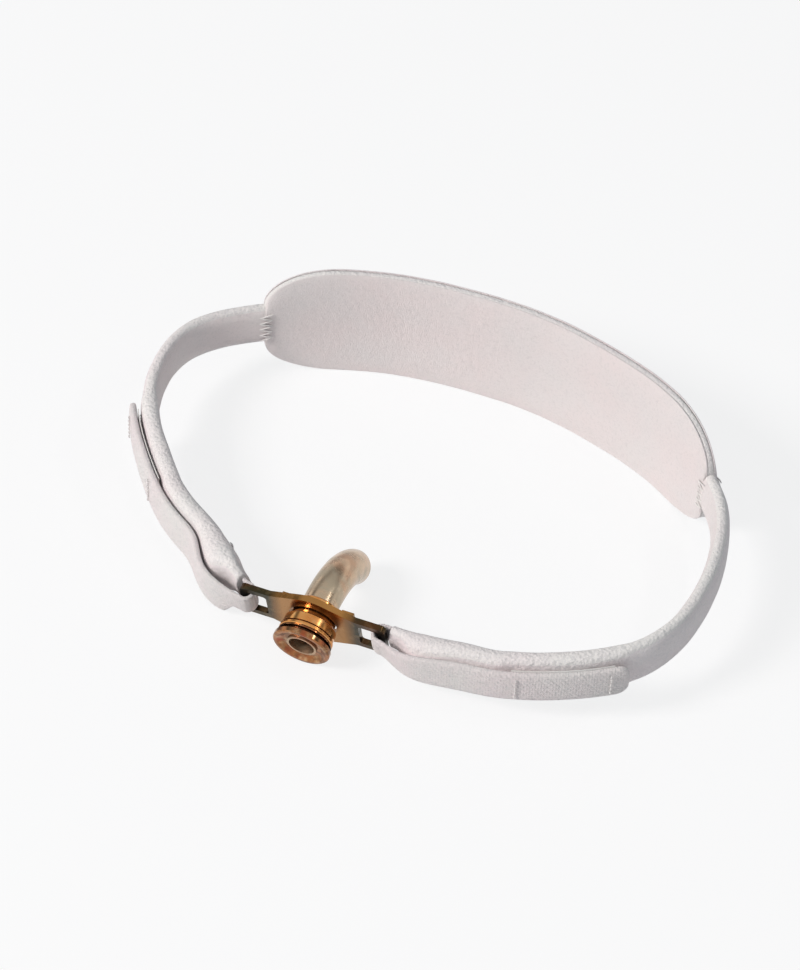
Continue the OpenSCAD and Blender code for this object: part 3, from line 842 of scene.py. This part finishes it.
# %% Measure the blank
blank_tree = BVHTree.FromPolygons([v.co / MM for v in pad_blank.data.vertices],
                                  [tuple(p.vertices) for p in pad_blank.data.polygons])
LEAF_ROWS = 29
RAY_REACH, EDGE_ROOM = 5.0, 1.6
MOST_OVER, MOST_UNDER = 0.55, 0.2    # how far a height may be from the plain foam
leaf_qs = [-math.cos(math.pi * j / (LEAF_ROWS - 1)) for j in range(LEAF_ROWS)]
leaf_stations = pad_steps(1.4)
leaf_frames = [band_frame(s) for s in leaf_stations]


def foam_height(frame_at, q, s, side):
    """How far the blank reaches from the middle on one side, within limits."""
    middle, out, up = frame_at
    start = middle + up * (q * (pad_height(s) - EDGE_ROOM) / 2)
    hit = blank_tree.ray_cast(start, out * side, RAY_REACH)[0]
    plain = pad_foam(s) / 2 * bulge(q, RIM)
    if hit is None:
        return plain
    return min(plain + MOST_OVER, max(plain - MOST_UNDER, (hit - start).length))


def smoothed(rows, times=3):
    """Averages a grid of heights with its neighbours."""
    for _ in range(times):
        last = len(rows) - 1
        rows = [[(rows[max(i - 1, 0)][j] + 2 * rows[i][j] + rows[min(i + 1, last)][j]) / 4
                 for j in range(len(rows[i]))] for i in range(len(rows))]
        rows = [[(r[max(j - 1, 0)] + 2 * r[j] + r[min(j + 1, len(r) - 1)]) / 4
                 for j in range(len(r))] for r in rows]
    return rows


heights = {side: smoothed([[foam_height(f, q, s, side) for q in leaf_qs]
                           for f, s in zip(leaf_frames, leaf_stations)]) for side in (1, -1)}
bpy.data.objects.remove(pad_blank)
print("foam is", round(2 * max(map(max, heights[1])), 2), "mm thick at its fullest")


# %% [markdown]
# A leaf is a closed sheet between two sets of heights, with a rounded rim.
# The foam is one such leaf, whose cut rim stands out a hair between the
# cloths. Each cloth is another, and its own thickness fades at the rim, where
# knife and needle pressed it down.

# %% Foam and cloths
def leaf(name, low_rows, high_rows, short, nose, material, wave, seed):
    """A sheet from low to high; short is how far its face stops from the rim."""
    rings = []
    for f, s, low_row, high_row in zip(leaf_frames, leaf_stations, low_rows, high_rows):
        middle, out, up = f
        reach = pad_height(s) / 2 - short
        low, high = ([middle + out * h + up * (q * reach) for h, q in zip(row, leaf_qs)]
                     for row in (low_row, high_row))
        turns = [math.pi * k / 5 for k in range(1, 5)]
        top, foot = ([a.lerp(b, (1 - math.cos(t)) / 2) + way * nose * math.sin(t) for t in turns]
                     for a, b, way in ((high[-1], low[-1], up), (low[0], high[0], -up)))
        rings.append(high + top + list(reversed(low)) + foot)
    if wave:
        rings = soften(rings, 9.0, wave, seed)
    return skin(name, rings, [0] * len(rings[0]), [material], cap=0)


def raised(rows, side, lift):
    """Heights on one side of the band, lifted by so much."""
    return [[side * (h + lift(q)) for h, q in zip(row, leaf_qs)] for row in rows]


def on_foam(_):
    return SKIN_GAP


def over_cloth(q):
    return SKIN_GAP + SKIN_T * bulge(q, 0.5)


def bare(_):
    return 0


FOAM_EDGE, CLOTH_EDGE = (0.5, 0.38), (0.16, 0.12)    # how far a face stops short, and its nose
CLOTH_WAVE, CLOTH_SEED = 0.06, 2
pad_foam_piece = leaf("pad_foam", raised(heights[-1], -1, bare), raised(heights[1], 1, bare),
                      *FOAM_EDGE, foam, 0.0, 0)
pad_cover = leaf("pad_cover_cloth", raised(heights[1], 1, on_foam),
                 raised(heights[1], 1, over_cloth),
                 *CLOTH_EDGE, cover_cloth, CLOTH_WAVE, CLOTH_SEED)
pad_lining = leaf("pad_lining_cloth", raised(heights[-1], -1, on_foam),
                  raised(heights[-1], -1, over_cloth),
                  *CLOTH_EDGE, lining_cloth, CLOTH_WAVE, CLOTH_SEED)
for piece, node, slot in ((pad_foam_piece, "pad_core", "foam"),
                          (pad_cover, "pad_cover", "cover_cloth"),
                          (pad_lining, "pad_lining", "lining_cloth")):
    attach(piece, "band")
    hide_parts(node)
print("pad faces:", [len(p.data.polygons) for p in (pad_foam_piece, pad_cover, pad_lining)])


# %% [markdown]
# ## The straps
#
# Each strap is a narrow strip cut from the same laminate, so it is modelled
# directly as one long soft section: cloth on both faces and foam at the cut
# edges. Its end is slit and wraps the tape that is sewn into it, and the
# brushed face stands up against the tab that presses on it.

# %% Straps
PRESS_GAP, HOOK_GAP = 0.3, 0.12        # room under a tab and under its hooks
MOST_PRESSED = 6.0                     # how far a strap swells towards its tab
SOFT_EDGE, PRESSED_EDGE = 0.6, 0.87    # edge thickness, free and under a tab
TAPE_COVER = 0.9                       # foam on the neck side of the tape
STRAP_WAVE, STRAP_LUMP = 0.14, 7.0     # the foam's unevenness, and its size
FIRST_SECTION = 1.2                    # how far before its tip a strap begins


def tab_mid(d, bow):
    """Distance of a tab's middle from the band's middle line."""
    return (mix(2 * LOOP_R, TAB_OFF, ease(d / 18))
            + bow * math.sin(math.pi * clip(d / BOW_RUN) ** 0.7) ** 2)


def tab_half(d):
    """Half the thickness of a tab."""
    return mix(TAPE_T, TAB_T, ease((d - 1) / 7)) / 2


def strap_shape(d, side):
    """Height, inner face, outer face and edge share of a strap, d from its bar."""
    t = ease((d - TAPE_IN - 0.5) / 10)
    on_tape = TAPE_T / 2 + SKIN_GAP
    tip = on_tape + mix(TIP_T, TIP_FULL, ease((d - TIP_S) / 8))
    tab_face = tab_mid(d, side.bow) - tab_half(d)
    room = tab_face - AIR if d < BOW_RUN else STRAP_T
    outer = min(mix(tip, STRAP_T / 2, t), room)
    hooks = ease((d - side.tab_l + HOOK_L + 6) / 2.5)
    pressed = min(tab_face - mix(PRESS_GAP, HOOK_T + HOOK_GAP, hooks), MOST_PRESSED)
    under_tab = ease((d - 5) / 5) * (1 - ease((d - side.tab_l + 1) / 4))
    return (mix(TAPE_H + 0.8, STRAP_H, ease((d + 1) / side.strap_widen)),
            -mix(on_tape + TAPE_COVER, STRAP_T / 2, ease((d - TIP_S) / 6)),
            mix(outer, pressed, under_tab), mix(SOFT_EDGE, PRESSED_EDGE, under_tab))


def strap(name, length, side, seed):
    """A strap from its thin tip to the pad."""
    steps = spread(TIP_S - FIRST_SECTION, length - SKIN_GAP, 1.3)
    rings = []
    for d in steps:
        height, inner, outer, edge = strap_shape(d, side)
        points = section(height, inner, outer, edge, rows=15, turn=6)
        rings.append(place(band_frame(side.run(d)), points))
    parts = [p[2] for p in points]
    rings = soften(rings, STRAP_LUMP, STRAP_WAVE, seed)
    tip = (rings[0][0] - rings[1][0]).normalized()
    rings = list(reversed(rounded_end(rings[0], tip, 0.4))) + rings
    return skin(name, rings, parts, [cover_cloth, lining_cloth, foam])


left_strap = strap("left_strap_band", LEFT_L, LEFT, 3)
right_strap = strap("right_strap_band", RIGHT_L, RIGHT, 4)
for piece, node in ((left_strap, "left_strap"), (right_strap, "right_strap")):
    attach(piece, "band")
    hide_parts(node)
print("strap faces:", len(left_strap.data.polygons), "+", len(right_strap.data.polygons))


# %% [markdown]
# ## Tapes and tabs
#
# A thin woven tape is sewn under each strap's end. It passes behind the
# plate's end bar, comes forward through the slot, turns round the bar and
# runs back along the strap as the tab. It is one strip, but it is made as
# two pieces that meet in the slot, and the loop stays with the band.

# %% Tape path
SPLIT = -25    # degrees round the bar where loop and tab meet
TAB_WAVE, TAB_LUMP = 0.12, 11.0


def tape_ring(frame_at, height, off=0.0, half=TAPE_T / 2, drop=0.0):
    points = section(height, off - half, off + half, 0.75, rows=11, turn=4, drop=drop)
    return place(frame_at, points)


TAPE_PARTS = [0] * len(tape_ring(band_frame(0), TAPE_H))


def loop_tape(name, side):
    """From the slot, round the back of the bar and under the strap."""
    rings = [tape_ring(turn_frame(side.x, a), TAPE_H) for a in range(SPLIT, 81, 7)]
    for d in spread(0, TAPE_IN, 1.2):
        middle, out, up = band_frame(side.run(d))
        rings.append(tape_ring((middle, -out, up), TAPE_H))
    return skin(name, rings, TAPE_PARTS, [tape], cap=0)


def tab_shape(d, side):
    """Height and downward shift of a tab."""
    w = ease((d - 0.8) / side.widen)
    flare = side.flare * (1 - ease((d - 6) / 16))
    k = clip((d - side.tab_l + TAB_ROUND) / TAB_ROUND)
    corner = 2 * TAB_ROUND * (1 - math.sqrt(max(0.0, 1 - k * k)))
    return mix(TAPE_H, side.tab_h + flare, w) - corner, (side.drop + flare / 2) * w


def tab(name, side, seed):
    """From the slot round the front of the bar and back along the strap."""
    turn = [tape_ring(turn_frame(side.x, a), TAPE_H) for a in range(SPLIT, -87, -7)]
    steps = spread(AIR, side.tab_l - TAB_ROUND, 1.1) + [
        side.tab_l - TAB_ROUND + k * TAB_ROUND for k in (0.25, 0.5, 0.7, 0.85, 0.95)]
    flap = []
    for d in steps:
        height, drop = tab_shape(d, side)
        flap.append(tape_ring(band_frame(side.run(d)), height, tab_mid(d, side.bow),
                              tab_half(d), -drop))
    rings = turn + soften(flap, TAB_LUMP, TAB_WAVE, seed)
    return skin(name, rings, TAPE_PARTS, [tab_cloth], cap=0)


left_loop = loop_tape("left_loop_ribbon", LEFT)
right_loop = loop_tape("right_loop_ribbon", RIGHT)
left_tab = tab("left_tab_ribbon", LEFT, 6)
right_tab = tab("right_tab_ribbon", RIGHT, 7)
print("tab faces:", len(left_tab.data.polygons), "+", len(right_tab.data.polygons))

# %% Loops on the band, tabs in place
for piece, node in ((left_loop, "left_loop_tape"), (right_loop, "right_loop_tape")):
    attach(piece, "band")
    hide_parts(node)
for piece, side, body in ((left_tab, -1, "left_tab"), (right_tab, 1, "right_tab")):
    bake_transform(piece)
    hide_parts(body)


# %% [markdown]
# ## Hook patches
#
# Under each tab's end is a patch of hook strip, which grips the brushed loop
# cloth of the strap. Its base is a thin moulded sheet, and the hooks stand
# on it in rows. A hook is a small bent peg, made as a short tube along an
# arc, and all hooks of one patch are a single mesh.

# %% Hooks
HOOK_PITCH, HOOK_BASE, HOOK_INSET = 1.15, 0.28, 0.8
HOOK_RADII = (0.17, 0.12, 0.11, 0.10, 0.06)
HOOK_BACK = 3    # how far the strip stops before the tab's end


def tube_along(shape, points, radii, sides, uv=None):
    """Adds a small tube through points, in millimetres, to a bmesh."""
    rings = []
    up = Vector((0.31, 0.17, 0.93))
    length = 0.0
    runs = []
    for i, p in enumerate(points):
        if i:
            length += (p - points[i - 1]).length
        runs.append(length)
        ahead = points[min(i + 1, len(points) - 1)] - points[max(i - 1, 0)]
        ahead.normalize()
        a = ahead.cross(up).normalized()
        b = ahead.cross(a)
        rings.append([shape.verts.new((p + (a * math.cos(t) + b * math.sin(t)) * radii[i]) * MM)
                      for t in (2 * math.pi * k / sides for k in range(sides))])
    for i in range(len(rings) - 1):
        for k in range(sides):
            m = (k + 1) % sides
            face = shape.faces.new((rings[i][k], rings[i][m], rings[i + 1][m], rings[i + 1][k]))
            if uv is not None:
                corners = ((i, k), (i, k + 1), (i + 1, k + 1), (i + 1, k))
                for loop, (u, v) in zip(face.loops, corners):
                    loop[uv].uv = (runs[u], v / sides)
    shape.faces.new(list(reversed(rings[0])))
    shape.faces.new(rings[-1])


def hook_patch(name, side):
    """The moulded base with its rows of hooks, which face the strap."""
    height = side.tab_h - HOOK_INSET
    top = TAB_OFF - TAB_T / 2 - SKIN_GAP
    rings = []
    for d in spread(side.tab_l - HOOK_L - HOOK_BACK, side.tab_l - HOOK_BACK, 1.6):
        points = section(height, top - HOOK_BASE, top, 0.9, rows=9, turn=3, drop=-side.drop)
        rings.append(place(band_frame(side.run(d)), points))
    piece = skin(name, rings, [0] * len(points), [hook], cap=0)
    shape = bmesh.new()
    shape.from_mesh(piece.data)
    across = int((height - HOOK_INSET) / HOOK_PITCH)
    first, last = side.tab_l - HOOK_L - HOOK_BACK + 1, side.tab_l - HOOK_BACK - 1
    for row, d in enumerate(spread(first, last, HOOK_PITCH)):
        middle, out, up = band_frame(side.run(d))
        ahead = out.cross(up).normalized()
        for k in range(across):
            z = (k - (across - 1) / 2) * HOOK_PITCH + (0.2 if row % 2 else -0.2) - side.drop
            foot = middle + out * (top - HOOK_BASE + 0.05) + up * z
            lift = HOOK_T - HOOK_BASE
            points = [foot, foot - out * lift * 0.55, foot - out * lift * 0.92 + ahead * 0.14,
                      foot - out * lift * 0.98 + ahead * 0.34,
                      foot - out * lift * 0.72 + ahead * 0.46]
            tube_along(shape, points, HOOK_RADII, 5)
    shape.to_mesh(piece.data)
    shape.free()
    for polygon in piece.data.polygons:
        polygon.use_smooth = True
    return piece


left_hooks = hook_patch("left_hook_strip", LEFT)
right_hooks = hook_patch("right_hook_strip", RIGHT)
for piece, body, node in ((left_hooks, "left_tab", "left_hook_patch"),
                          (right_hooks, "right_tab", "right_hook_patch")):
    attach(piece, body)
    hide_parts(node)
print("faces on each hook strip:", len(left_hooks.data.polygons))


# %% [markdown]
# ## Stitching
#
# Thread shows in three places: a zigzag where a strap meets the pad, a dense
# bar tack where a tape is sewn in, and straight rows across the tabs. A
# stitch is a short tube that rises from one needle hole and dives into the
# next, so the rows catch light as real thread does.

# %% Stitches
THREAD_R, THREAD_SIDES = 0.2, 7
STITCH_RISE, STITCH_SINK = 0.2, 0.12
# Half width and pitch of each zigzag, and the pitch of the straight rows
ROOT_ZIGZAG, TACK_ZIGZAG, ROW_PITCH = (1.8, 0.95), (0.85, 0.5), 1.3
# How far from the band's middle each seam's thread lies
STRAP_OFF = STRAP_T / 2 + 0.16
ROW_OFF = TAB_OFF + TAB_T / 2 + 0.3


def stitch_mesh(name, stitches):
    """All stitches of one seam as a single piece; each is (from, to, out)."""
    shape = bmesh.new()
    uv = shape.loops.layers.uv.new("cloth")
    for a, b, out in stitches:
        points, radii = [], []
        for k in range(7):
            t = k / 6
            arch = math.sin(math.pi * t) ** 0.6
            points.append(a.lerp(b, t) + out * (arch * STITCH_RISE - STITCH_SINK))
            radii.append(THREAD_R * (0.6 + 0.4 * arch))
        tube_along(shape, points, radii, THREAD_SIDES, uv)
    bmesh.ops.recalc_face_normals(shape, faces=shape.faces)
    mesh = bpy.data.meshes.new(name)
    shape.to_mesh(mesh)
    shape.free()
    return link(mesh, name, [thread])


def on_band(s, off, z):
    middle, out, up = band_frame(s)
    return middle + out * off + up * z


def zigzag(s, height, size, side=1):
    """Zigzag across the band at s; size is its half width and pitch."""
    half_width, pitch = size
    out = band_frame(s)[1] * side
    legs = max(2, round(height / pitch))
    points = [on_band(s + (half_width if k % 2 else -half_width), STRAP_OFF * side,
                      -height / 2 + height * k / legs) for k in range(legs + 1)]
    return [(a, b, out) for a, b in zip(points, points[1:])]


root_height = STRAP_H - 3.2
pieces = {}
for name, s in (("left_root", PAD_A), ("right_root", PAD_B)):
    rows = zigzag(s, root_height, ROOT_ZIGZAG) + zigzag(s, root_height, ROOT_ZIGZAG, -1)
    pieces[name + "_stitch"] = stitch_mesh(name + "_thread", rows)
for name, s in (("left_tape", TAPE_IN - 3), ("right_tape", RING_L - TAPE_IN + 3)):
    rows = zigzag(s, TAPE_H - 1.7, TACK_ZIGZAG, -1)
    pieces[name + "_stitch"] = stitch_mesh(name + "_thread", rows)
for side in (LEFT, RIGHT):
    rows = []
    for d in (side.tab_l - HOOK_L - 1.6, side.tab_l - 4.2):
        s = side.run(d)
        out = band_frame(s)[1]
        count = round((side.tab_h - 2.4) / ROW_PITCH)
        for k in range(count):
            z = -side.drop + (k - (count - 1) / 2) * ROW_PITCH
            rows.append((on_band(s, ROW_OFF, z - 0.5), on_band(s, ROW_OFF, z + 0.5), out))
    pieces[side.name + "_tab_stitch"] = stitch_mesh(side.name + "_tab_thread", rows)
for node, piece in pieces.items():
    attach(piece, "band" if "tab_" not in node else node.replace("_stitch", ""))
    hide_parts(node)
print("seams:", {name: len(piece.data.polygons) for name, piece in pieces.items()})
